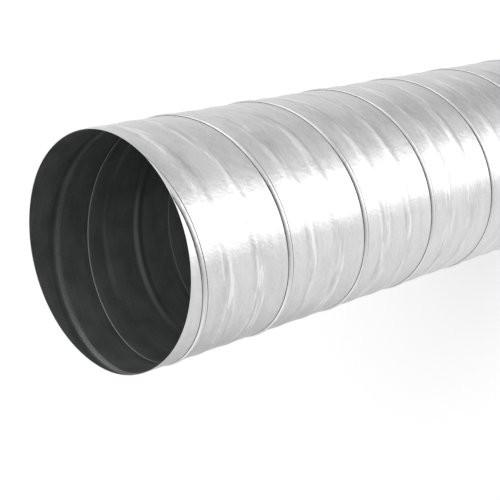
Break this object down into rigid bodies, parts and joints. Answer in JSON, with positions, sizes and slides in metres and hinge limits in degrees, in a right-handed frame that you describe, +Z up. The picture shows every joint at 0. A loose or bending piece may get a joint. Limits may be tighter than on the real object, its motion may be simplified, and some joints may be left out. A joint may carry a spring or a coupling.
{
  "type": "spiral duct section",
  "caption": "Straight length of round spiral wound ventilation duct in galvanised steel, with a raised helical lock seam outside and open, square cut ends.",
  "frame": {"origin": "on the floor, in the middle of the duct's lower end", "axes": "+Z up along the duct, +X towards the side that is uppermost in the picture, the picture's near end on top"},
  "size_m": [0.2542, 0.2542, 1],
  "materials": {
    "galvanised_steel": "bright galvanised zinc with fine rolling marks"
  },
  "bodies": {
    "root": {"spiral_duct": "galvanised_steel"}
  },
  "joints": []
}
